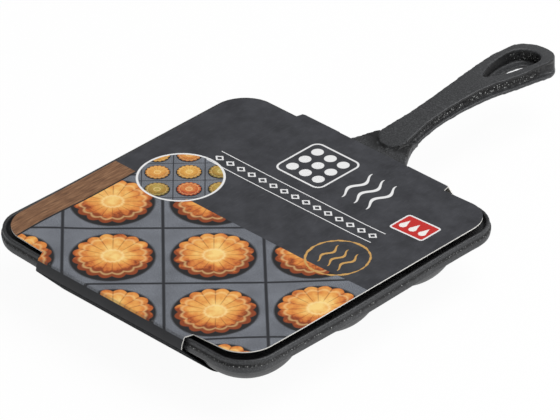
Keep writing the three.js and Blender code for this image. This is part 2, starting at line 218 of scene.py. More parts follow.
# Where the top panel waves: the place, how far the card moved and how far that reaches.
PANEL_WARPS = (
    ((-20 * MM, 10 * MM, CARD_TOP), (0, 0, -0.35 * MM), 52 * MM),
    ((-66 * MM, -60 * MM, CARD_TOP), (1.1 * MM, 1.1 * MM, 1.0 * MM), 30 * MM),
    ((70 * MM, -70 * MM, CARD_TOP), (0, 0, 0.4 * MM), 30 * MM),
)
RIGHT_CURL = 1.3 * MM  # how far the card's right edge curls up off the rim
RIGHT_CURL_REACH = 40 * MM
# Finishes of a sheet: on its outer side, on its inner side and on its cut edge.
PRINTED_SHEET = ("printed_card", "plain_card", "cut_card")
PLAIN_SHEET = ("plain_card", "plain_card", "cut_card")
# The strap's cut edge takes the dark finish of its outer side: painted shade where pale cut card would show.
UNDER_SHEET = ("under_card_and_edge_shade", "plain_card", "under_card_and_edge_shade")

# The print, in millimetres from the middle of the plate.
BAND_TOP = -4.0
WOOD_EDGE = -61.0
WOOD_LINE = 0.9
PRINT_WRAP = 1.1 * MM  # how far the picture runs down over the front crease
BIG_ROSETTES = (60.0, 29.0, 16.8, (9.0, -27.0))  # pitch, row, radius and the place of one of them
SMALL_ROSETTES = (19.0, 9.5, 5.2, (3.0, 2.0))
PETALS = 16
PETAL_DIP_SHARE = 0.9  # this and the next ones are shares of a rosette's radius
RIB_SHARES = (0.36, 1.0)
BOSS_SHARES = (0.24, 0.3)
SHINE_SHARES = (0.8, 0.86)
SHADOW_SHARE = 1.07
SHADOW_SHIFT_SHARES = (0.04, 0.05)
MEDAL_PLACE = (-44, 6, 0)
MEDAL_RADIUS = 18.5
MEDAL_LINE = 0.5
SIGN_PLACE = (-8, 52, 0)
SIGN_HALF = 13.6
SIGN_CORNER = 4.0
SIGN_LINE = 0.9
SIGN_PITCH = 7.6
SIGN_DOT = 2.7
WAVES_PLACE = (22, 52, 0)
WAVES_SIZES = (7.0, 1.5, 1.0, 11.0)  # pitch, swing, half width and half height
RING_PLACE = (48, 6, 0)
RING_RADIUS = 13.5
RING_WAVES_SIZES = (5.6, 1.1, 0.8, 7.5)
BORDER_PLACE = (2, 28)
BORDER_HALF = 48
BORDER_RULE = (4.2, 4.65)
DIAMOND_PITCH = 6.4
DIAMOND_COUNT = 15
DIAMOND_HALF = (2.5, 2.1)
DIAMOND_HOLLOW_SHARE = 0.55
BADGE_PLACE = (56, 44, 0)
BADGE_HALF = (9.4, 6.4)
BADGE_CORNER = 1.6
DROP_PITCH = 5.4
DROP_LOW = 1.6  # how far the drops' middles lie under the badge's
DROP_RADIUS = 1.75
DROP_HEIGHT_SHARE = 2.6  # from a drop's middle to its point, as a share of its radius

# Colours as they are seen, 0 to 255 for red, green and blue.
TONES = {
    # The slate's side tone is painted shade for where the card turns down.
    "slate": (46, 47, 51), "slate_pale": (68, 69, 74), "slate_shaded_side": (36, 37, 40), "scratch": (84, 85, 90),
    "wood_line": (30, 30, 32), "ink_white": (236, 236, 236), "foil": (206, 160, 92), "crack": (170, 170, 172),
    "rib": (134, 70, 34), "boss": (255, 226, 160), "shine": (255, 224, 156), "shadow": (34, 33, 34),
    "stipple": (92, 96, 103), "stipple_pale": (146, 150, 158), "patch": (70, 72, 78), "lattice": (42, 43, 47),
    "badge_edge": (240, 240, 240), "badge_red": (196, 44, 40), "badge_drop": (244, 240, 236),
    # The iron's glint tone is a painted highlight on the sand's grains.
    "iron_worn": (62, 63, 65), "iron_pit": (32, 32, 33), "iron_glint": (200, 202, 200),
    # The next tone is the painted shade that darkens the casting's hollows, the places under overhangs and
    # the cups.
    "iron_shade": (16, 16, 17), "plain": (172, 169, 163), "plain_pale": (196, 193, 187),
    "cut": (214, 212, 206), "cut_pale": (240, 238, 233), "under": (26, 27, 29), "under_pale": (40, 41, 44),
}
RAMPS = {
    "gold": ((0.0, (252, 214, 132)), (0.4, (238, 172, 88)), (0.68, (222, 138, 66)), (0.9, (188, 98, 46)),
             (1.0, (140, 66, 32))),
    "tints": ((0.0, (190, 60, 48)), (0.34, (226, 176, 84)), (0.68, (120, 132, 60))),
    "wood": ((0.3, (88, 60, 42)), (0.5, (128, 92, 66)), (0.7, (160, 122, 90))),
    "iron": ((0.3, (36, 37, 38)), (0.5, (56, 57, 59)), (0.72, (94, 95, 97))),
}
# Noises: scale per millimetre, detail and roughness, and for some how much they are squeezed on each axis.
NOISES = {
    "cloud": (0.09, 6.0, 0.62),
    "scratches": (0.9, 3.0, 0.5, (1.0, 0.25, 0)),
    "wood": (1.0, 5.0, 0.6, (1.2, 0.12, 0)),
    "crack": (1.3, 4.0, 0.5),
    "toast": (2.6, 5.0, 0.62),
    "stipple": (2.4, 2.0, 0.7),
    "patches": (0.08, 3.0, 0.5),
    "brush": (0.35, 2.0, 0.5),
    "card_fine": (3.2, 3.0, 0.6),
    "card_fibres": (1.6, 4.0, 0.6, (0.5, 2.4, 1.4)),
    "card_broad": (0.05, 2.0, 0.5),
    "iron_peel": (0.9, 3.0, 0.55),
    "iron_grain": (1.7, 3.0, 0.7),
    "iron_broad": (0.045, 3.0, 0.5),
    "iron_glints": (0.7, 2.0, 0.5),
}
NOISE_SPAN = (0.3, 0.7)  # most of a noise lies between these
GRAIN_SCALE = 1.05  # grains of sand per millimetre
# Finishes of card, each between two tones. One without tones shows the print.
CARD_FINISHES = {
    "printed_card": {"roughness": 0.42, "fibre": 0.0, "bump": 0.02 * MM},
    "plain_card": {"roughness": 0.8, "fibre": 0.9, "bump": 0.05 * MM, "tones": ("plain", "plain_pale")},
    "cut_card": {"roughness": 0.85, "fibre": 1.0, "bump": 0.05 * MM, "tones": ("cut", "cut_pale")},
    "under_card_and_edge_shade": {"roughness": 0.9, "fibre": 0.6, "bump": 0.04 * MM, "tones": ("under", "under_pale"),
                   "specular": 0.05},
}

# The camera and the light.
CAMERA_ANGLES = (45.04, 32.63, -1.0)  # round from the front, up, and roll, in degrees
CAMERA_TARGET = (4.73 * MM, 16.16 * MM)  # on the top of the card
CAMERA_DISTANCE = 2.0864
CAMERA_CLIP = (0.1, 20)
CAMERA_SENSOR = 36
PICTURE_WIDTH = 560
FOCAL_LENGTH = 5000  # in pixels of the picture
LAMPS = (
    ("key", (0.5, 0.7, 1.6), 1.5, 24),
    ("side", (1.7, 0.1, 0.6), 1.2, 8),
)
WORLD_LEVEL = 0.34
FLOOR_SIZE = 8
FLOOR_GAP = 0.05 * MM
FLOOR_WHITE_SHARE = 0.95
FLOOR_ROUGHNESS = 0.9
FLOOR_LIT = 0.95  # how light the floor is where it is seen
FLOOR_BOUNCE = 0.92  # and where it only throws light back


def only(piece):
    """Deselects everything else and makes the piece the active one."""
    bpy.ops.object.select_all(action="DESELECT")
    piece.select_set(True)
    bpy.context.view_layer.objects.active = piece


@contextlib.contextmanager
def editing(piece):
    """Edit mode for the piece, with all of its mesh selected at the start."""
    only(piece)
    bpy.ops.object.mode_set(mode="EDIT")
    bpy.ops.mesh.select_all(action="SELECT")
    yield
    bpy.ops.object.mode_set(mode="OBJECT")


def primitive(add, name, scale=(1, 1, 1), **options):
    """A new piece from one of Blender's own primitives, with its place and size in its mesh."""
    bpy.ops.object.select_all(action="DESELECT")
    add(**options)
    piece = bpy.context.active_object
    piece.name = piece.data.name = name
    piece.scale = scale
    bpy.ops.object.transform_apply(location=True, rotation=True, scale=True)
    return piece


def block(name, size, place):
    """A box of this size about this place."""
    return primitive(bpy.ops.mesh.primitive_cube_add, name, size=1, location=place, scale=size)


def apply_modifier(piece, kind, **settings):
    """Adds a modifier with these settings and applies it."""
    modifier = piece.modifiers.new(kind.lower(), kind)
    for setting, value in settings.items():
        setattr(modifier, setting, value)
    only(piece)
    bpy.ops.object.modifier_apply(modifier=modifier.name)


def combine(piece, tool, operation):
    """Joins or cuts the piece with the tool, which is used up."""
    apply_modifier(piece, "BOOLEAN", operation=operation, solver="MANIFOLD", object=tool)
    bpy.data.objects.remove(tool)


def select(piece, faces=None, edges=None, points=None):
    """In edit mode, selects only the faces, edges or points that the test accepts."""
    mode, test = next((m, t) for m, t in (("FACE", faces), ("EDGE", edges), ("VERT", points)) if t)
    bpy.ops.mesh.select_mode(type=mode)
    bpy.ops.mesh.select_all(action="DESELECT")
    mesh = bmesh.from_edit_mesh(piece.data)
    items = {"FACE": mesh.faces, "EDGE": mesh.edges, "VERT": mesh.verts}[mode]
    for item in items:
        item.select = test(item)
    mesh.select_flush_mode()
    bmesh.update_edit_mesh(piece.data)


def cut(place, way, **options):
    """In edit mode, cuts the whole mesh along the plane through the place that looks the given way."""
    bpy.ops.mesh.select_all(action="SELECT")
    bpy.ops.mesh.bisect(plane_co=place, plane_no=way, **options)


def drag(piece, test, offset, reach):
    """In edit mode, moves the points that the test accepts, and softly those round them."""
    select(piece, points=test)
    bpy.ops.transform.translate(value=offset, use_proportional_edit=True,
                                proportional_edit_falloff="SMOOTH", proportional_size=reach)


def warp(piece, place, offset, reach):
    """Moves the points nearest to the place, and softly those round them."""
    with editing(piece):
        nearest = min((v.co - Vector(place)).length for v in bmesh.from_edit_mesh(piece.data).verts)
        drag(piece, lambda v: (v.co - Vector(place)).length < nearest + FIT_GAP / 10, offset, reach)


def points_of(piece):
    """The places of all points, as rows of x, y and z."""
    flat = np.empty(len(piece.data.vertices) * 3)
    piece.data.vertices.foreach_get("co", flat)
    return flat.reshape(-1, 3)


def group_of(piece, name, mask):
    """A vertex group of the points where the mask is true."""
    group = piece.vertex_groups.new(name=name)
    group.add(np.nonzero(mask)[0].tolist(), 1.0, "REPLACE")
    return name


def displace(piece, name, mask=None):
    """Moves the surface in and out by one of the skin's noises, all over or where the mask is true."""
    group = "" if mask is None else group_of(piece, name, mask)
    texture = bpy.data.textures.new(name, "CLOUDS")
    texture.noise_scale, height = SKIN_NOISES[name]
    apply_modifier(piece, "DISPLACE", texture=texture, texture_coords="LOCAL", strength=height, mid_level=0.5,
                   vertex_group=group)


# Shader nodes.


def linear(colour):
    """A colour as it is seen, 0 to 255 for each channel, as a shader's linear colour."""
    return (*(((v / 255 + 0.055) / 1.055) ** 2.4 if v > 10 else v / 255 / 12.92 for v in colour), 1)


class Nodes:
    """Adds nodes to a shader tree. An input is a number, a tuple, a node's output or a tone's name."""

    def __init__(self, tree):
        self.tree = tree

    def feed(self, socket, value):
        if isinstance(value, bpy.types.NodeSocket):
            self.tree.links.new(value, socket)
        else:
            socket.default_value = linear(TONES[value]) if isinstance(value, str) else value

    def add(self, kind, inputs=(), **settings):
        node = self.tree.nodes.new(f"ShaderNode{kind}")
        for name, value in settings.items():
            setattr(node, name, value)
        for name, value in dict(inputs).items():
            self.feed(node.inputs[name], value)
        return node

    def math(self, operation, *values, clamp=False):
        return self.add("Math", enumerate(values), operation=operation, use_clamp=clamp).outputs[0]

    plus = functools.partialmethod(math, "ADD")
    minus = functools.partialmethod(math, "SUBTRACT")
    times = functools.partialmethod(math, "MULTIPLY")
    over = functools.partialmethod(math, "DIVIDE")
    size = functools.partialmethod(math, "ABSOLUTE")
    least = functools.partialmethod(math, "MINIMUM")
    most = functools.partialmethod(math, "MAXIMUM")

    def apart(self, value, other):
        """How far apart two values are."""
        return self.size(self.minus(value, other))

    def vector(self, operation, *values):
        node = self.add("VectorMath", enumerate(values), operation=operation)
        return node.outputs["Value" if operation in ("DISTANCE", "LENGTH") else "Vector"]

    def split(self, vector):
        return self.add("SeparateXYZ", {0: vector}).outputs[:]

    def length(self, x, y):
        """The length of the vector x, y."""
        return self.vector("LENGTH", self.add("CombineXYZ", {0: x, 1: y}).outputs[0])

    def fit(self, value, low, high, to_low=0.0, to_high=1.0):
        """The value, with the stretch from low to high laid over another one."""
        return self.add("MapRange", {0: value, 1: low, 2: high, 3: to_low, 4: to_high}).outputs[0]

    def under(self, value, edge, soft=0.1):
        """A mask that is 1 where the value is under the edge."""
        return self.fit(value, edge + soft, edge - soft)

    def between(self, value, low, high, soft=0.1):
        """A mask that is 1 where the value is between low and high."""
        return self.times(self.fit(value, low - soft, low + soft), self.under(value, high, soft))

    def noise(self, place, name, size=1):
        """One of the named noises, with its grain this many times as large."""
        scale, detail, roughness, *squeeze = NOISES[name]
        if squeeze:
            place = self.vector("MULTIPLY", place, *squeeze)
        inputs = {"Vector": place, "Scale": scale / size, "Detail": detail, "Roughness": roughness}
        return self.add("TexNoise", inputs).outputs[0]

    def mix(self, mask, below, above, share=None):
        """One colour where the mask is 0 and the other where it is 1, or only a share of the way to it."""
        if share:
            mask = self.times(mask, share)
        node = self.add("Mix", data_type="RGBA")
        for index, value in ((0, mask), (6, below), (7, above)):
            self.feed(node.inputs[index], value)
        return node.outputs[2]

    def blend(self, mask, below, above):
        """The same for plain values."""
        return self.add("Mix", {0: mask, 2: below, 3: above}, data_type="FLOAT").outputs[0]

    def ramp(self, value, name):
        """The colour at the value on one of the named ramps."""
        node = self.add("ValToRGB", {0: value})
        points = node.color_ramp.elements
        while len(points) < len(RAMPS[name]):
            points.new(0.5)
        for point, (place, colour) in zip(points, RAMPS[name]):
            point.position = place
            point.color = linear(colour)
        return node.outputs[0]

    def place_mm(self):
        """The place on the object, in millimetres."""
        return self.vector("MULTIPLY", self.add("TexCoord").outputs["Object"], (1 / MM, 1 / MM, 1 / MM))


def node_group(name, outputs, inputs=()):
    """A new shader group with named outputs and inputs, all of them plain values apart from Color."""
    tree = bpy.data.node_groups.new(name, "ShaderNodeTree")
    for way, labels in (("INPUT", inputs), ("OUTPUT", outputs)):
        for label in labels:
            kind = "Color" if label == "Color" else "Float"
            tree.interface.new_socket(label, in_out=way, socket_type=f"NodeSocket{kind}")
    entry, leave = tree.nodes.new("NodeGroupInput"), tree.nodes.new("NodeGroupOutput")
    return tree, Nodes(tree), entry.outputs, leave.inputs


def print_group():
    """The sleeve's print, seen from above: ornaments on slate over a band of golden rosettes on grey."""
    tree, n, _, out = node_group("sleeve_print", ["Color"])
    whole = n.place_mm()
    flat = n.vector("MULTIPLY", whole, (1, 1, 0))
    x, y, height = n.split(whole)
    below = n.under(height, (CARD_TOP - PRINT_WRAP) / MM)

    slate = n.mix(n.fit(n.noise(flat, "cloud"), *NOISE_SPAN), "slate", "slate_pale")
    slate = n.mix(n.fit(n.noise(flat, "scratches"), 0.55, 0.8, to_high=0.35), slate, "scratch")
    # Painted shade: the slate is darker where the card turns down at its creases, on the front wall and on
    # the rear tabs.
    slate = n.mix(below, slate, "slate_shaded_side", share=0.75)

    art = rosette_field(n, flat, x, y, *BIG_ROSETTES)
    art = n.mix(n.under(x, WOOD_EDGE), art, n.ramp(n.noise(flat, "wood"), "wood"))
    art = n.mix(n.between(x, WOOD_EDGE, WOOD_EDGE + WOOD_LINE), art, "wood_line")
    ink = n.mix(n.times(n.under(y, BAND_TOP), n.minus(1.0, below)), slate, art)

    from_medal = n.vector("DISTANCE", flat, MEDAL_PLACE)
    small = rosette_field(n, flat, x, y, *SMALL_ROSETTES, tints=True)
    ink = n.mix(n.under(from_medal, MEDAL_RADIUS), ink, small)
    white = n.between(from_medal, MEDAL_RADIUS - MEDAL_LINE, MEDAL_RADIUS + MEDAL_LINE)
    for mark in (pan_sign(n, flat), ruled_border(n, x, y), waves(n, flat, WAVES_PLACE, *WAVES_SIZES)):
        white = n.most(white, mark)
    ink = n.mix(white, ink, "ink_white")
    ink = n.mix(gold_ring(n, flat), ink, "foil")
    ink = badge(n, flat, ink)

    from_fold = n.least(n.apart(y, FRONT_FOLD / MM), n.apart(y, REAR_FOLD / MM))
    crack = n.times(n.under(from_fold, 0.5, soft=0.3), n.fit(n.noise(whole, "crack"), 0.42, 0.7, to_high=0.4))
    crack = n.times(crack, n.fit(height, (CARD_TOP - FOLD_RADIUS) / MM, CARD_TOP / MM))
    n.feed(out["Color"], n.mix(crack, ink, "crack"))
    return tree


def rosette_field(n, flat, x, y, pitch, row, radius, shift, tints=False):
    """Rows of round golden rosettes, each row half a pitch along from the next, on a stippled grey ground."""
    x, y = n.minus(x, shift[0]), n.minus(y, shift[1])
    across, along = n.over(x, pitch), n.over(y, 2 * row)
    rising, falling = n.plus(along, across), n.minus(along, across)
    cell_a, cell_b = n.math("ROUND", rising), n.math("ROUND", falling)
    dx = n.minus(x, n.times(n.minus(cell_a, cell_b), pitch / 2))
    dy = n.minus(y, n.times(n.plus(cell_a, cell_b), row))
    petal = n.size(n.math("SINE", n.times(n.math("ARCTAN2", dy, dx), PETALS / 2)))
    edge = n.times(n.fit(petal, 0, 1, PETAL_DIP_SHARE, 1.0), radius)
    inward = n.over(n.length(dx, dy), edge)

    warmth = n.plus(n.fit(n.noise(flat, "toast", radius), 0.25, 0.75, -0.42, 0.42), inward)
    warmth = n.plus(warmth, n.fit(n.minus(dx, dy), -radius, radius, -0.3, 0.3))
    gold = n.ramp(warmth, "gold")
    if tints:
        cell = n.add("CombineXYZ", {0: cell_a, 1: cell_b}).outputs[0]
        chance = n.add("TexWhiteNoise", {0: cell}, noise_dimensions="2D").outputs[0]
        gold = n.mix(0.6, gold, n.ramp(chance, "tints"))
    rib = n.times(n.under(petal, 0.16), n.between(inward, *RIB_SHARES, soft=0.04))
    gold = n.mix(rib, gold, "rib", share=0.55)
    gold = n.mix(n.between(inward, *BOSS_SHARES, soft=0.03), gold, "boss", share=0.7)
    gold = n.mix(n.between(inward, *SHINE_SHARES, soft=0.03), gold, "shine", share=0.45)

    grey = n.mix(n.fit(n.noise(flat, "stipple"), 0.35, 0.7), "stipple", "stipple_pale")
    grey = n.mix(n.fit(n.noise(flat, "patches"), 0.35, 0.7, to_high=0.4), grey, "patch")
    lines = [n.apart(n.apart(place, cell), 0.5) for place, cell in ((rising, cell_a), (falling, cell_b))]
    grey = n.mix(n.under(n.least(*lines), 0.016, soft=0.006), grey, "lattice")
    right, down = (share * radius for share in SHADOW_SHIFT_SHARES)
    shadow = n.over(n.length(n.minus(dx, right), n.plus(dy, down)), radius)
    grey = n.mix(n.under(shadow, SHADOW_SHARE, soft=0.03), grey, "shadow")
    return n.mix(n.under(inward, 1.0, soft=0.012), grey, gold)


def round_box(n, flat, centre, half, radius):
    """Distance from the core of a box with round corners. The box reaches as far as the radius."""
    offset = n.vector("ABSOLUTE", n.vector("SUBTRACT", flat, centre))
    core = n.vector("SUBTRACT", offset, (half[0] - radius, half[1] - radius, 0))
    return n.vector("LENGTH", n.vector("MAXIMUM", core, (0, 0, 0)))


def repeated(n, value, pitch, count):
    """The distance from the nearest of an odd count of places, the middle one at zero."""
    last = (count - 1) / 2
    index = n.least(n.most(n.math("ROUND", n.over(value, pitch)), -last), last)
    return n.minus(value, n.times(index, pitch))


def pan_sign(n, flat):
    """A sign of a square plate with nine cups."""
    x, y, _ = n.split(n.vector("SUBTRACT", flat, SIGN_PLACE))
    reach = round_box(n, flat, SIGN_PLACE, (SIGN_HALF, SIGN_HALF), SIGN_CORNER)
    from_cup = n.length(repeated(n, x, SIGN_PITCH, 3), repeated(n, y, SIGN_PITCH, 3))
    return n.most(n.between(reach, SIGN_CORNER - SIGN_LINE, SIGN_CORNER), n.under(from_cup, SIGN_DOT))


def waves(n, flat, place, pitch, swing, half_width, half_height):
    """Three rising wavy lines, thin at their ends."""
    x, y, _ = n.split(n.vector("SUBTRACT", flat, place))
    up = n.size(y)
    bend = n.times(n.math("SINE", n.times(y, 5 / half_height)), swing)
    taper = n.math("POWER", n.most(n.fit(up, 0, half_height, 1.0, 0.0), 0.0), 0.5)
    offset = n.apart(repeated(n, x, pitch, 3), bend)
    return n.times(n.under(n.minus(offset, n.times(taper, half_width)), 0.0), n.under(up, half_height))


def ruled_border(n, x, y):
    """Two thin rules with a row of diamonds between them."""
    across, up = n.minus(x, BORDER_PLACE[0]), n.apart(y, BORDER_PLACE[1])
    step = n.size(repeated(n, across, DIAMOND_PITCH, DIAMOND_COUNT))
    out = n.plus(n.over(step, DIAMOND_HALF[0]), n.over(up, DIAMOND_HALF[1]))
    whole, hollow = (n.under(out, edge, soft=0.05) for edge in (1.0, DIAMOND_HOLLOW_SHARE))
    marks = n.most(n.between(up, *BORDER_RULE, soft=0.05), n.math("SUBTRACT", whole, hollow, clamp=True))
    return n.times(marks, n.under(n.size(across), BORDER_HALF))


def gold_ring(n, flat):
    """A brushed gold ring with three waves of steam in it."""
    brush = n.fit(n.noise(flat, "brush"), *NOISE_SPAN, 0.2, 0.75)
    from_ring = n.apart(n.vector("DISTANCE", flat, RING_PLACE), RING_RADIUS)
    ring = n.under(n.minus(from_ring, brush), 0.0, soft=0.12)
    return n.most(ring, waves(n, flat, RING_PLACE, *RING_WAVES_SIZES))


def badge(n, flat, ink):
    """A red badge with a white border and three drops."""
    reach = round_box(n, flat, BADGE_PLACE, BADGE_HALF, BADGE_CORNER)
    ink = n.mix(n.under(reach, BADGE_CORNER), ink, "badge_edge")
    ink = n.mix(n.under(reach, BADGE_CORNER / 2), ink, "badge_red")
    x, y, _ = n.split(n.vector("SUBTRACT", flat, BADGE_PLACE))
    across, up = repeated(n, x, DROP_PITCH, 3), n.plus(y, DROP_LOW)
    ball = n.under(n.length(across, up), DROP_RADIUS)
    wedge = n.under(n.plus(n.size(across), n.over(n.size(up), DROP_HEIGHT_SHARE)), DROP_RADIUS)
    return n.mix(n.most(ball, n.times(wedge, n.fit(up, -0.1, 0.1))), ink, "badge_drop")


def card_group():
    """The grain of card: a fine bump, and small changes of roughness and tone."""
    tree, n, entry, out = node_group("card_grain", ["Height", "Roughness", "Tone"], ["Fibre"])
    place = n.place_mm()
    fine, fibres, broad = (n.noise(place, name) for name in ("card_fine", "card_fibres", "card_broad"))
    n.feed(out["Height"], n.blend(entry["Fibre"], fine, fibres))
    dull = n.plus(n.fit(broad, *NOISE_SPAN, -0.05, 0.05), n.fit(fine, *NOISE_SPAN, -0.03, 0.03))
    n.feed(out["Roughness"], dull)
    n.feed(out["Tone"], n.fit(n.blend(0.5, fibres, broad), 0.35, 0.65))
    return tree


def iron_group():
    """Coated cast iron: smooth with a fine orange peel, and coarse grains where the sand shows, with painted
    glints on them.
    """
    tree, n, entry, out = node_group("iron_skin", ["Color", "Roughness", "Height"], ["Sand", "PaintedShade"])
    place = n.place_mm()
    sand = entry["Sand"]
    names = ("iron_peel", "iron_grain", "iron_broad", "iron_glints")
    peel, grain, broad, glints = (n.noise(place, name) for name in names)
    cells = n.add("TexVoronoi", {"Vector": place, "Scale": GRAIN_SCALE}).outputs[0]
    # Painted highlight: the sand's grains take a bright glint colour, with a dark pit tone between them.
    glint = n.times(n.fit(cells, 0.4, 0.12), n.fit(glints, 0.4, 0.54))
    glint = n.times(glint, n.math("POWER", sand, 1.2))
    skin = n.mix(n.fit(broad, *NOISE_SPAN, to_high=0.35), n.ramp(grain, "iron"), "iron_worn")
    skin = n.mix(sand, skin, n.mix(glint, "iron_pit", "iron_glint"))
    # Painted shade: the skin is darkened towards a near black tone by the points' own value.
    n.feed(out["Color"], n.mix(entry["PaintedShade"], skin, "iron_shade"))
    dull = n.plus(n.fit(broad, *NOISE_SPAN, 0.44, 0.54), n.fit(grain, *NOISE_SPAN, -0.05, 0.07))
    n.feed(out["Roughness"], n.plus(dull, n.times(glint, -0.12)))
    height = n.plus(n.times(peel, 0.6), n.times(grain, 0.4))
    n.feed(out["Height"], n.blend(sand, height, n.fit(cells, 0.0, 0.6, 2.2, 0.0)))
    return tree


def material(name, metallic=0.0, specular=0.5):
    """A new material with its nodes and the inputs of its Principled shader."""
    made = bpy.data.materials.new(name)
    made.use_nodes = True
    shader = made.node_tree.nodes["Principled BSDF"]
    shader.inputs["Metallic"].default_value = metallic
    shader.inputs["Specular IOR Level"].default_value = specular
    return made, Nodes(made.node_tree), shader.inputs


def cast_iron():
    """Coated iron. The points' own values say where it is coarse and where shade is painted on it."""
    made, n, shader = material("cast_iron", metallic=0.25)
    sand, painted_shade = (n.add("Attribute", attribute_name=name).outputs["Fac"] for name in ("sand", "painted_shade"))
    skin = n.add("Group", {"Sand": sand, "PaintedShade": painted_shade}, node_tree=groups["iron_skin"]).outputs
    bump = {"Height": skin["Height"], "Strength": 0.7, "Distance": 0.14 * MM}
    n.feed(shader["Base Color"], skin["Color"])
    n.feed(shader["Roughness"], skin["Roughness"])
    n.feed(shader["Normal"], n.add("Bump", bump).outputs[0])
    return made


def card(name, roughness, fibre, bump, tones=None, specular=0.25):
    """A card finish between two tones, or with the sleeve's print."""
    made, n, shader = material(name, specular=specular)
    grain = n.add("Group", {"Fibre": fibre}, node_tree=groups["card_grain"]).outputs
    if tones:
        colour = n.mix(grain["Tone"], *tones)
    else:
        colour = n.add("Group", node_tree=groups["sleeve_print"]).outputs["Color"]
    normal = n.add("Bump", {"Height": grain["Height"], "Strength": 0.4, "Distance": bump}).outputs[0]
    n.feed(shader["Base Color"], colour)
    n.feed(shader["Roughness"], n.plus(grain["Roughness"], roughness))
    n.feed(shader["Normal"], normal)
    return made


def give_finishes(piece, names):
    """Gives the piece the named materials, and no others."""
    piece.data.materials.clear()
    for name in names:
        piece.data.materials.append(materials[name])


# The casting.


def rounded_block(name, half, radius, low, high, low_half=None):
    """A square block with round upright edges. Its underside has the half width low_half."""
    piece = block(name, (2 * half, 2 * half, high - low), (0, 0, (low + high) / 2))
    with editing(piece):
        select(piece, edges=lambda e: abs(e.verts[0].co.z - e.verts[1].co.z) > (high - low) / 2)
        bpy.ops.mesh.bevel(offset=radius, segments=CORNER_STEPS, affect="EDGES")
        if low_half:
            select(piece, faces=lambda f: f.normal.z < -0.5)
            shrink = low_half / half
            bpy.ops.transform.resize(value=(shrink, shrink, 1), center_override=(0, 0, low))
    return piece


def ball(name, radius, middle, foot, top):
    """A ball about the Z axis, cut flat at its foot and its top."""
    piece = primitive(bpy.ops.mesh.primitive_uv_sphere_add, name, segments=BALL_STEPS, ring_count=BALL_RINGS,
                      radius=radius, location=(0, 0, middle))
    with editing(piece):
        for height, up in ((foot, -1), (top, 1)):
            cut((0, 0, height), (0, 0, up), use_fill=True, clear_outer=True)
    return piece


def at_every_cup(plate, model, operation):
    """Joins or cuts the plate with a copy of the model at each cup, then deletes the model."""
    places = [(column * CUP_PITCH, row * CUP_PITCH, 0) for column in (-1, 0, 1) for row in (-1, 0, 1)]
    for place in places:
        only(model)
        bpy.ops.object.duplicate()
        copy = bpy.context.active_object
        copy.data.transform(Matrix.Translation(place))
        combine(plate, copy, operation)
    bpy.data.objects.remove(model)


def cut_grooves(plate):
    """The grooves that part the cups' square cells, along both ways of the cooking surface."""
    length = 2 * (PLATE_HALF - LIP_WIDTH - RECESS_DRAFT - GROOVE_END_GAP)
    for offset in (-CUP_PITCH / 2, CUP_PITCH / 2):
        along_y = (GROOVE_WIDTH, length, 2 * GROOVE_DEPTH)
        along_x = (length, GROOVE_WIDTH, 2 * GROOVE_DEPTH)
        combine(plate, block("groove", along_y, (offset, 0, COOKING)), "DIFFERENCE")
        combine(plate, block("groove", along_x, (0, offset, COOKING)), "DIFFERENCE")


def handle_at(y):
    """Half width, top and thickness of the handle at the place y, which may be a number or an array: a smooth
    curve through the rows of shares."""
    share = (y - PLATE_HALF) / HANDLE_LENGTH
    rows = np.array(HANDLE_SHARES)
    knots = rows[:, 0]
    slopes = np.gradient(rows, knots, axis=0)
    index = np.clip(np.searchsorted(knots, share) - 1, 0, len(knots) - 2)
    step = knots[index + 1] - knots[index]
    t = np.clip((share - knots[index]) / step, 0, 1)
    values = []
    for column in (1, 2, 3):
        start, end = rows[index, column], rows[index + 1, column]
        into, out = slopes[index, column] * step, slopes[index + 1, column] * step
        values.append((2 * t**3 - 3 * t**2 + 1) * start + (t**3 - 2 * t**2 + t) * into
                      + (3 * t**2 - 2 * t**3) * end + (t**3 - t**2) * out)
    half, rise, depth = values
    return half * HANDLE_HALF, PLATE_LEVEL + rise * HANDLE_RISE, depth * HANDLE_DEPTH


def drawn_out(name, sections):
    """A bar drawn out along Y through sections of (y, half width, low, high), by extruding its end face."""
    y, half, low, high = sections[0]
    bar = primitive(bpy.ops.mesh.primitive_plane_add, name, size=1, location=(0, y, (low + high) / 2),
                    rotation=(math.pi / 2, 0, 0), scale=(2 * half, high - low, 1))
    with editing(bar):
        for (y0, half0, low0, high0), (y1, half1, low1, high1) in zip(sections, sections[1:]):
            middle = (low1 + high1) / 2
            step = (0, y1 - y0, middle - (low0 + high0) / 2)
            bpy.ops.mesh.extrude_region_move(TRANSFORM_OT_translate={"value": step})
            bpy.ops.transform.resize(value=(half1 / half0, 1, (high1 - low1) / (high0 - low0)),
                                     center_override=(0, y1, middle))
        bpy.ops.mesh.select_all(action="SELECT")
        bpy.ops.mesh.normals_make_consistent(inside=False)
    return bar


def nose_share(y):
    """How far the pad's round nose has widened at the place y, which may be a number or an array."""
    into = np.clip((y - PLATE_HALF - PAD_START) / PAD_NOSE, 0, 1)
    return np.maximum(NOSE_START_SHARE, np.sqrt(1 - (1 - into) ** 2))


def nose_distance(x, y):
    """Distance outside the outline of the pad's round nose."""
    return np.maximum(np.abs(x) - handle_at(y)[0] * nose_share(y), PAD_EDGE - y)


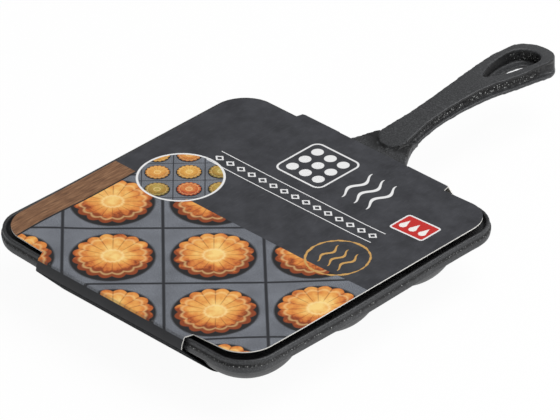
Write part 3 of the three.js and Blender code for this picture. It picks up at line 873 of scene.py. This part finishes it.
def handle_layer(name, start, extra, low_share, high_share, nosed=False, fills_tip=False):
    """A layer of the handle's section up to its round tip. extra is added to the pad's half width."""
    tip_half = HANDLE_HALF + (0 if fills_tip else extra)
    tip_centre = HANDLE_TIP - tip_half
    straight = np.arange(start, tip_centre, NOSE_STEP if nosed else STATION_STEP)
    angles = range(0, 90, TIP_STEP_DEGREES)
    round_end = [tip_centre + tip_half * math.sin(math.radians(angle)) for angle in angles]
    sections = []
    for y in [*straight, *round_end]:
        half, top, depth = (float(v) for v in handle_at(y))
        half += extra
        if nosed:
            half = half * float(nose_share(y))
        if fills_tip:
            blend = min(1, max(0, (y - tip_centre) / (tip_half - CHANNEL_END)))
            half = half + (HANDLE_HALF - half) * blend
        if y > tip_centre:
            half = min(half, math.sqrt(max(0, tip_half**2 - (y - tip_centre) ** 2)))
        sections.append((y, half, top - low_share * depth, top - high_share * depth))
    return drawn_out(name, sections)


def handle_root():
    """The flared root, which runs out of the rim and under the round nose of the pad."""
    _, top, depth = (float(v) for v in handle_at(PLATE_HALF + ROOT_LENGTH))
    start_low, start_top = RIM_BOTTOM + ROOT_LIFT, PLATE_LEVEL - ROOT_DROP
    end_low, end_top = top - depth, top - (1 - FLANGE_THICKNESS_SHARE) * depth
    sections = [(PLATE_HALF - 2 * LIP_WIDTH / 3, ROOT_HALF, start_low, start_top)]
    for share, width in ROOT_SHARES:
        low = start_low + (end_low - start_low) * math.sqrt(share)
        high = start_top + (end_top - start_top) * share**2 + ROOT_CROWN * math.sin(math.pi * share**1.5)
        sections.append((PLATE_HALF + share * ROOT_LENGTH, width * ROOT_HALF, low, high))
    return drawn_out("root", sections)


def hole_distance(x, y):
    """Distance outside the drop-shaped outline of the hanging hole, negative inside it."""
    along = HOLE_CENTRE - y
    share = np.clip(along / HOLE_POINT_LENGTH, 0, 1)
    half = HOLE_RADIUS * (1 - share**HOLE_FULL) ** HOLE_POINTED
    return np.where(along > 0, np.abs(x) - half, np.hypot(x, along) - HOLE_RADIUS)


def drop_cutter(inset, down_share):
    """A drop-shaped cutter, smaller than the hole by the inset: a disc whose near half is pulled out into a
    point. It goes down through a share of the handle's thickness."""
    radius, point_length = HOLE_RADIUS - inset, HOLE_POINT_LENGTH - 2 * inset
    drop = primitive(bpy.ops.mesh.primitive_cylinder_add, "hole", vertices=HOLE_STEPS, radius=radius,
                     depth=2 * (HANDLE_DEPTH + HANDLE_RISE), location=(0, HOLE_CENTRE, PLATE_LEVEL))
    with editing(drop):
        mesh = bmesh.from_edit_mesh(drop.data)
        for point in mesh.verts:
            if point.co.y < HOLE_CENTRE:
                width = min(1, abs(point.co.x) / radius)
                point.co.y = HOLE_CENTRE - point_length * (1 - width ** (1 / HOLE_POINTED)) ** (1 / HOLE_FULL)
            if point.co.z < PLATE_LEVEL:
                _, top, depth = (float(v) for v in handle_at(point.co.y))
                point.co.z = top - down_share * depth
        bmesh.update_edit_mesh(drop.data)
    return drop


def rim_distance(x, y):
    """Distance outside the rim's outline in plan, negative inside it."""
    inner = PLATE_HALF - CORNER_RADIUS
    across, along = np.abs(x) - inner, np.abs(y) - inner
    outside = np.hypot(np.maximum(across, 0), np.maximum(along, 0))
    return outside + np.minimum(np.maximum(across, along), 0) - CORNER_RADIUS


def within(values, low, high):
    """Where the values lie between two others."""
    return (values > low) & (values < high)


def sand_mask(points):
    """Where the casting keeps the coarse skin of the sand mould: in the handle's channels, on the far wall of
    its hole and beside the nose of its pad."""
    x, y, z = points.T
    half, top, depth = handle_at(y)
    down = (top - z) / depth
    side = within(np.abs(x), half - 2 * CHANNEL_DEPTH, half + FLANGE_OVERHANG / 2)
    along = within(y, PAD_EDGE + CHANNEL_DEPTH, HANDLE_TIP - POCKET_LENGTH)
    far_wall = (np.abs(hole_distance(x, y)) < CHANNEL_DEPTH) & (y > HOLE_FAR_WALL)
    by_nose = (x > -MM) & (y < PAD_EDGE + PAD_NOSE) & (z > RIM_MIDDLE)
    return (
        (side & along & within(down, *COARSE_CHANNEL_SHARES))
        | (far_wall & within(down, *COARSE_HOLE_SHARES))
        | (by_nose & within(nose_distance(x, y), *COARSE_NOSE))
    )


def seam_mask(points):
    """The band round the rim's side where the two halves of the mould met."""
    x, y, z = points.T
    outside = np.maximum(np.abs(x), np.abs(y)) > PLATE_HALF - 2 * CORNER_RADIUS
    height = np.abs(z - SEAM) < SEAM_HALF_HEIGHT
    return outside & height & (y < PLATE_HALF + FIT_GAP) & (rim_distance(x, y) > -2 * SEAM_STEP)


def painted_shade_values(points):
    """How much shade is painted on the casting: most in its hole, under the pad's edge and beside the pad's
    nose, less over the seam and in the cups, and not at all on top of the rim. In the recess and cups it is
    partly the plate's darker coating and partly painted shade under the card."""
    x, y, z = points.T
    half, top, depth = handle_at(y)
    down = (top - z) / depth
    from_hole, from_rim = hole_distance(x, y), rim_distance(x, y)
    on_handle = y > PAD_EDGE
    wall = on_handle & (from_hole < CHANNEL_DEPTH) & within(down, *SHADE_HOLE_SHARES)
    edge = on_handle & (np.abs(x) > half - 2 * CHANNEL_DEPTH)
    pocket = on_handle & (y > HANDLE_TIP - POCKET_LENGTH) & (from_hole > CHANNEL_DEPTH)
    nose = within(y, PLATE_HALF + FIT_GAP, PAD_EDGE + PAD_NOSE / 2) & (x < HANDLE_HALF / 8)
    on_seam = (np.abs(z - SEAM - SEAM_STEP) < SEAM_HALF_HEIGHT) & (from_rim > -2 * SEAM_STEP)
    cup_x, cup_y = (v - CUP_PITCH * np.clip(np.round(v / CUP_PITCH), -1, 1) for v in (x, y))
    from_cup = np.sqrt(cup_x**2 + cup_y**2 + (z - CUP_FOOT - CUP_RADIUS) ** 2)
    cooking = (z > COOKING - WEB_THICKNESS / 2) | (from_cup < (CUP_RADIUS + CUP_OUTER_RADIUS) / 2)
    masks = {
        "cups": cooking & (from_rim < -0.7 * LIP_WIDTH),
        "over_seam": on_seam & (y < PLATE_HALF),
        "pocket": pocket & within(down, *SHADE_POCKET_SHARES),
        "under_edge": edge & within(down, *SHADE_EDGE_SHARES),
        "far_wall": wall & (y > HOLE_FAR_WALL),
        "hole": wall & (y <= HOLE_FAR_WALL),
        "crevice": nose & within(nose_distance(x, y), *SHADE_NOSE),
    }
    values = np.zeros(len(points))
    for name, mask in masks.items():
        values[mask] = PAINTED_SHADE_DARKNESS[name]
    return values


def plate_casting():
    """The plate and its handle as one body with sharp edges."""
    side = PLATE_HALF - SEAM_REACH
    plate = rounded_block("cast_iron_casting", side, CORNER_RADIUS - SEAM_REACH, RIM_BOTTOM, SEAM,
                          side - RIM_DRAFT)
    upper_side = side - SEAM_STEP
    upper = rounded_block("upper", upper_side, CORNER_RADIUS - SEAM_STEP, SEAM - OVERRUN, RIM_TOP,
                          upper_side - SEAM_STEP)
    combine(plate, upper, "UNION")
    relief_half = PLATE_HALF - RIM_WALL
    relief = rounded_block("relief", relief_half, CORNER_RADIUS - RIM_WALL, RIM_BOTTOM - OVERRUN, WEB_BOTTOM)
    combine(plate, relief, "DIFFERENCE")
    bulge = ball("bulge", CUP_OUTER_RADIUS, COOKING - CUP_OUTER_DROP, CUP_FLAT, COOKING - WEB_THICKNESS / 2)
    at_every_cup(plate, bulge, "UNION")
    recess_half = PLATE_HALF - LIP_WIDTH
    recess = rounded_block("recess", recess_half, CORNER_RADIUS - LIP_WIDTH, COOKING, RIM_TOP + OVERRUN,
                           recess_half - RECESS_DRAFT)
    combine(plate, recess, "DIFFERENCE")
    hollow = ball("hollow", CUP_RADIUS, CUP_FOOT + CUP_RADIUS, CUP_FOOT - OVERRUN, RIM_TOP)
    at_every_cup(plate, hollow, "DIFFERENCE")
    cut_grooves(plate)
    pad = handle_layer("pad", PAD_EDGE, 0, PAD_THICKNESS_SHARE, 0, nosed=True)
    web = handle_layer("web", PAD_EDGE, -CHANNEL_DEPTH, 1 - FLANGE_THICKNESS_SHARE / 2,
                       PAD_THICKNESS_SHARE / 2, nosed=True, fills_tip=True)
    flange_start = PLATE_HALF + ROOT_LENGTH - 2 * STATION_STEP
    flange = handle_layer("flange", flange_start, FLANGE_OVERHANG, 1, 1 - FLANGE_THICKNESS_SHARE)
    for part in (handle_root(), web, flange, pad):
        combine(plate, part, "UNION")
    combine(plate, drop_cutter(HOLE_LEDGE, 2), "DIFFERENCE")  # twice the thickness, so right through
    combine(plate, drop_cutter(0, 1 - FLANGE_THICKNESS_SHARE), "DIFFERENCE")
    return plate


def cast_skin(plate):
    """Rounds every edge as sand casting does, and gives the iron its seam and its coarse places."""
    apply_modifier(plate, "REMESH", mode="VOXEL", voxel_size=FINE_VOXEL)
    apply_modifier(plate, "SMOOTH", factor=0.5, iterations=EDGE_SMOOTHING)
    points = points_of(plate)
    under = (points[:, 2] < WEB_BOTTOM + MM) & (points[:, 1] < PLATE_HALF - LIP_WIDTH / 2)
    apply_modifier(plate, "SMOOTH", factor=0.5, iterations=UNDERSIDE_SMOOTHING,
                   vertex_group=group_of(plate, "under", under))
    displace(plate, "waves")
    displace(plate, "sand", sand_mask(points_of(plate)))
    displace(plate, "seam", seam_mask(points_of(plate)))
    apply_modifier(plate, "DECIMATE", ratio=CASTING_TRIANGLES / (2 * len(plate.data.polygons)))
    plate.vertex_groups.clear()
    points = points_of(plate)
    neck = np.clip((points[:, 1] - PLATE_HALF) / NECK_LENGTH, NECK_COARSE, 1.0)
    sand = np.where(sand_mask(points), neck, np.where(seam_mask(points), SEAM_COARSE, 0.0))
    # Each point keeps how coarse its skin is and how much shade is painted on it.
    for name, values in (("sand", sand), ("painted_shade", painted_shade_values(points))):
        attribute = plate.data.attributes.new(name, "FLOAT", "POINT")
        attribute.data.foreach_set("value", values.astype(np.float32))
    for place, offset, reach in CASTING_WARPS:
        warp(plate, place, offset, reach)
    bpy.ops.object.shade_smooth()
    return plate


# The sleeve.


def tongue():
    """The panel's stretch from fold to fold, a little wider at the card's front and rear edges."""
    front, rear = FRONT_FOLD + FOLD_RADIUS, REAR_FOLD - FOLD_RADIUS
    size = (STRAP_RIGHT - STRAP_LEFT, rear - front, CARD + 2 * OVERRUN)
    place = ((STRAP_LEFT + STRAP_RIGHT) / 2, (front + rear) / 2, (panel_low.z + panel_high.z) / 2)
    piece = block("tongue", size, place)
    shoulders = ((-1, WIDE_SHOULDER, NARROW_SHOULDER), (1, NARROW_SHOULDER, NARROW_SHOULDER))
    with editing(piece):
        for side, left, right in shoulders:
            edge = side * (PLATE_HALF - CARD_SETBACK) + CARD_SHIFT.y
            cut((0, edge, 0), (0, 1, 0))
            for way, shoulder in ((-1, left), (1, right)):
                select(piece, points=lambda v: abs(v.co.y - edge) < OVERRUN / 10 and way * v.co.x > 0)
                bpy.ops.transform.translate(value=(way * shoulder, 0, 0))
        for way, offset in ((-1, WALL_LEFT - STRAP_LEFT), (1, WALL_RIGHT - STRAP_RIGHT)):
            select(piece, points=lambda v: v.co.y < front + OVERRUN / 10 and way * v.co.x > 0)
            bpy.ops.transform.translate(value=(offset, 0, 0))
    return piece


def top_panel():
    """The printed panel over the cups, cut from a grid of card so that it can wave a little."""
    half = PLATE_HALF - CARD_SETBACK
    outline = rounded_block("outline", half, CARD_CORNER, panel_low.z - OVERRUN, CARD_TOP + OVERRUN)
    with editing(outline):
        bpy.ops.transform.translate(value=CARD_SHIFT.to_3d())
    combine(outline, tongue(), "UNION")
    middle = (panel_low + panel_high) / 2
    panel = primitive(bpy.ops.mesh.primitive_grid_add, "card_top_panel", size=1, x_subdivisions=GRID_CUTS,
                      y_subdivisions=GRID_CUTS, location=(middle.x, middle.y, CARD_TOP),
                      scale=(panel_high.x - panel_low.x + OVERRUN, panel_high.y - panel_low.y + OVERRUN, 1))
    apply_modifier(panel, "SOLIDIFY", thickness=CARD, offset=-1)
    combine(panel, outline, "INTERSECT")
    for place, offset, reach in PANEL_WARPS:
        warp(panel, place, offset, reach)
    with editing(panel):
        drag(panel, lambda v: v.co.x > panel_high.x - CARD, (0, 0, RIGHT_CURL), RIGHT_CURL_REACH)
    give_finishes(panel, PRINTED_SHEET)
    for face in panel.data.polygons:
        face.material_index = 0 if face.normal.z > 0.5 else 1 if face.normal.z < -0.5 else 2
    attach(panel, "top_panel")
    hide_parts("sleeve_top_panel")


def folded_card(name, path, left, right, outward, finishes=PRINTED_SHEET):
    """A sheet without thickness, between two places on X, that follows a path of (y, z). outward is the way
    that its first face looks."""
    y, z = path[0]
    sheet = primitive(bpy.ops.mesh.primitive_grid_add, name, size=1, x_subdivisions=STRIP_CUTS,
                      y_subdivisions=1, location=((left + right) / 2, y, z),
                      scale=(right - left, FOLD_RADIUS, 1))
    with editing(sheet):
        select(sheet, points=lambda v: v.co.y > y)
        bpy.ops.mesh.delete(type="VERT")
        select(sheet, points=lambda v: True)
        bpy.ops.transform.translate(value=(0, FOLD_RADIUS / 2, 0))
        for (y0, z0), (y1, z1) in zip(path, path[1:]):
            bpy.ops.mesh.extrude_edges_move(TRANSFORM_OT_translate={"value": (0, y1 - y0, z1 - z0)})
    if sheet.data.polygons[0].normal.dot(Vector(outward)) < 0:
        with editing(sheet):
            bpy.ops.mesh.flip_normals()
    give_finishes(sheet, finishes)
    return sheet


def thicken(sheet):
    """Gives the sheet the card's thickness on its inner side."""
    apply_modifier(sheet, "SOLIDIFY", thickness=CARD, offset=-1, material_offset=1, material_offset_rim=2)
    bpy.ops.object.shade_smooth_by_angle(angle=math.radians(FOLD_SMOOTH_DEGREES))


def fold(y, end):
    """Points of (y, z) on a rounded fold about the place y, from the card's top to an angle. The angle is in
    degrees from +Y towards +Z."""
    z = CARD_TOP - FOLD_RADIUS
    angles = [math.radians(90 + (end - 90) * i / FOLD_STEPS) for i in range(FOLD_STEPS + 1)]
    return [(y + FOLD_RADIUS * math.cos(a), z + FOLD_RADIUS * math.sin(a)) for a in angles]


def front_wall():
    """The wall over the front edge of the rim, with the rounded crease that joins it to the top panel."""
    lean = math.degrees(math.atan2(WALL_LEAN, WALL_HEIGHT))
    foot = (FRONT_CREASE[0], FRONT_CREASE[1] + FOLD_RADIUS)
    middle = ((FRONT_FOLD + foot[0]) / 2 - WALL_BULGE, (CARD_TOP - FOLD_RADIUS + foot[1]) / 2)
    path = [*fold(FRONT_FOLD + FOLD_RADIUS, 180 - lean / 2), middle, foot]
    wall = folded_card("card_front_wall", path, WALL_LEFT, WALL_RIGHT, (0, 0, 1))
    with editing(wall):
        for level in (middle[1], foot[1]):
            select(wall, points=lambda v: v.co.z < level + CARD / 10)
            bpy.ops.transform.translate(value=(-WALL_SKEW / 2, 0, 0))
    thicken(wall)
    for face in wall.data.polygons:  # the print goes on round the foot
        if face.center.z < foot[1] + FOLD_RADIUS / 4:
            face.material_index = 0
    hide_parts("sleeve_front_wall")
    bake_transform(wall)


def strap_side(crease, side):
    """The strap's outer face against the outer row of cups, from a crease to the flat stretch under them."""
    cup_y = side * CUP_PITCH
    middle = COOKING - CUP_OUTER_DROP
    radius = CUP_OUTER_RADIUS + FIT_GAP + CARD
    across, down = side * (crease[0] - cup_y), middle - crease[1]
    tangent = math.atan2(across, down) - math.acos(radius / math.hypot(across, down))
    flat = math.acos(middle / radius)
    angles = [tangent + (flat - tangent) * i / FOLD_STEPS for i in range(FOLD_STEPS + 1)]
    return [(cup_y + side * radius * math.sin(a), middle - radius * math.cos(a)) for a in angles]


def under_strap():
    """The strap under the cups, from the lower front crease to the glue strip."""
    y, z = FRONT_CREASE
    front = [(y, z + FOLD_RADIUS), (y + FOLD_RADIUS / 4, z + FOLD_RADIUS / 3),
             (y + FOLD_RADIUS, z - FOLD_RADIUS / 2)]
    path = [*front, *strap_side(front[-1], -1), *reversed(strap_side(REAR_CREASE, 1)), REAR_CREASE]
    strap = folded_card("card_under_strap", path, WALL_LEFT - WALL_SKEW, WALL_RIGHT - WALL_SKEW, (0, -1, 0),
                        UNDER_SHEET)
    thicken(strap)
    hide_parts("sleeve_under_panel")
    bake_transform(strap)


def glue_strip():
    """The turned-up end of the strap, glued behind the rear tabs."""
    y, z = glue_high.y, glue_low.z
    path = [REAR_CREASE, (y - CARD / 4, z), (y, z + CARD), (y, glue_high.z)]
    strip = folded_card("card_glue_strip", path, STRAP_LEFT + CARD, STRAP_RIGHT - CARD, (0, 1, 0),
                        PLAIN_SHEET)
    thicken(strip)
    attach(strip, "plate_and_strap")
    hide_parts("sleeve_glue_strip")


def rear_tab(side, name):
    """The tab beside the handle, with the rounded crease that joins it to the top panel."""
    node = f"sleeve_rear_tab_{name}"
    low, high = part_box(node)
    outer = low.x if side < 0 else high.x
    path = [*fold(REAR_FOLD - FOLD_RADIUS, 0), (REAR_FOLD, low.z)]
    tab = folded_card(f"card_rear_tab_{name}", path, low.x, high.x, (0, 0, 1))
    flare = ((outer - side * TAB_FLARE, 0, high.z), (side, 0, TAB_FLARE_SLOPE))
    corner = ((outer - side * TAB_CORNER / 2, 0, low.z), (side, 0, -1))
    with editing(tab):
        for point, way in (flare, corner):
            cut(point, way, clear_outer=True)
    thicken(tab)
    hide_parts(node)
    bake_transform(tab)


# The camera, the light and the floor.


def placed(name, data):
    """A new object in the scene, for a camera or a lamp."""
    made = bpy.data.objects.new(name, data)
    bpy.context.scene.collection.objects.link(made)
    return made


def camera():
    """A long lens that looks at the front right corner from above."""
    azimuth, elevation, roll = (math.radians(angle) for angle in CAMERA_ANGLES)
    back = Vector((math.sin(azimuth) * math.cos(elevation), -math.cos(azimuth) * math.cos(elevation),
                   math.sin(elevation)))
    data = bpy.data.cameras.new("camera")
    data.sensor_width = CAMERA_SENSOR
    data.lens = CAMERA_SENSOR * FOCAL_LENGTH / PICTURE_WIDTH
    data.clip_start, data.clip_end = CAMERA_CLIP
    view = placed("camera", data)
    turn = (-back).to_track_quat("-Z", "Y").to_matrix().to_4x4()
    place = Vector((*CAMERA_TARGET, CARD_TOP)) + back * CAMERA_DISTANCE
    view.matrix_world = Matrix.Translation(place) @ turn @ Matrix.Rotation(roll, 4, "Z")
    bpy.context.scene.camera = view


def lamp(name, place, size, power):
    """A round soft lamp that points at the object."""
    data = bpy.data.lights.new(name, "AREA")
    data.shape, data.size, data.energy = "DISK", size, power
    made = placed(name, data)
    made.location = place
    made.rotation_euler = (-Vector(place)).to_track_quat("-Z", "Y").to_euler()


def plain_grey(level):
    """A linear grey of this level."""
    return (level, level, level, 1)


def white_floor():
    """A floor that is seen nearly white with a faint shadow, and throws a little less light back."""
    made, n, shader = material("floor_white")
    path = n.add("LightPath").outputs
    seen = n.most(path["Is Camera Ray"], n.most(path["Is Glossy Ray"], path["Is Transmission Ray"]))
    n.feed(shader["Base Color"], n.mix(seen, plain_grey(FLOOR_BOUNCE), plain_grey(FLOOR_LIT)))
    shader["Roughness"].default_value = FLOOR_ROUGHNESS
    lit = made.node_tree.nodes["Principled BSDF"].outputs[0]
    white = n.add("Emission", {"Color": plain_grey(1), "Strength": 1.0}).outputs[0]
    both = n.add("MixShader", {0: n.times(seen, FLOOR_WHITE_SHARE), 1: lit, 2: white}).outputs[0]
    n.feed(made.node_tree.nodes["Material Output"].inputs["Surface"], both)
    return made


def studio():
    """Soft lamps, a pale world and a white floor that keeps a faint shadow."""
    for name, place, size, power in LAMPS:
        lamp(name, place, size, power)
    world = bpy.data.worlds.new("studio")
    bpy.context.scene.world = world
    world.use_nodes = True
    n = Nodes(world.node_tree)
    path = n.add("LightPath").outputs
    background = world.node_tree.nodes["Background"].inputs
    background["Color"].default_value = plain_grey(1)
    seen = n.most(path["Is Camera Ray"], path["Is Transmission Ray"])
    n.feed(background["Strength"], n.blend(seen, WORLD_LEVEL, 1.0))
    floor = primitive(bpy.ops.mesh.primitive_plane_add, "floor", size=FLOOR_SIZE, location=(0, 0, -FLOOR_GAP))
    floor.data.materials.append(white_floor())


camera()
studio()
bpy.context.scene.view_settings.view_transform = "Standard"

groups = {group.name: group for group in (print_group(), card_group(), iron_group())}
materials = {name: card(name, **looks) for name, looks in CARD_FINISHES.items()}
materials["cast_iron"] = cast_iron()

plate = cast_skin(plate_casting())
give_finishes(plate, ["cast_iron"])
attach(plate, "plate_and_strap")
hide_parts("cast_iron_plate")
top_panel()
front_wall()
under_strap()
glue_strip()
rear_tab(-1, "left")
rear_tab(1, "right")
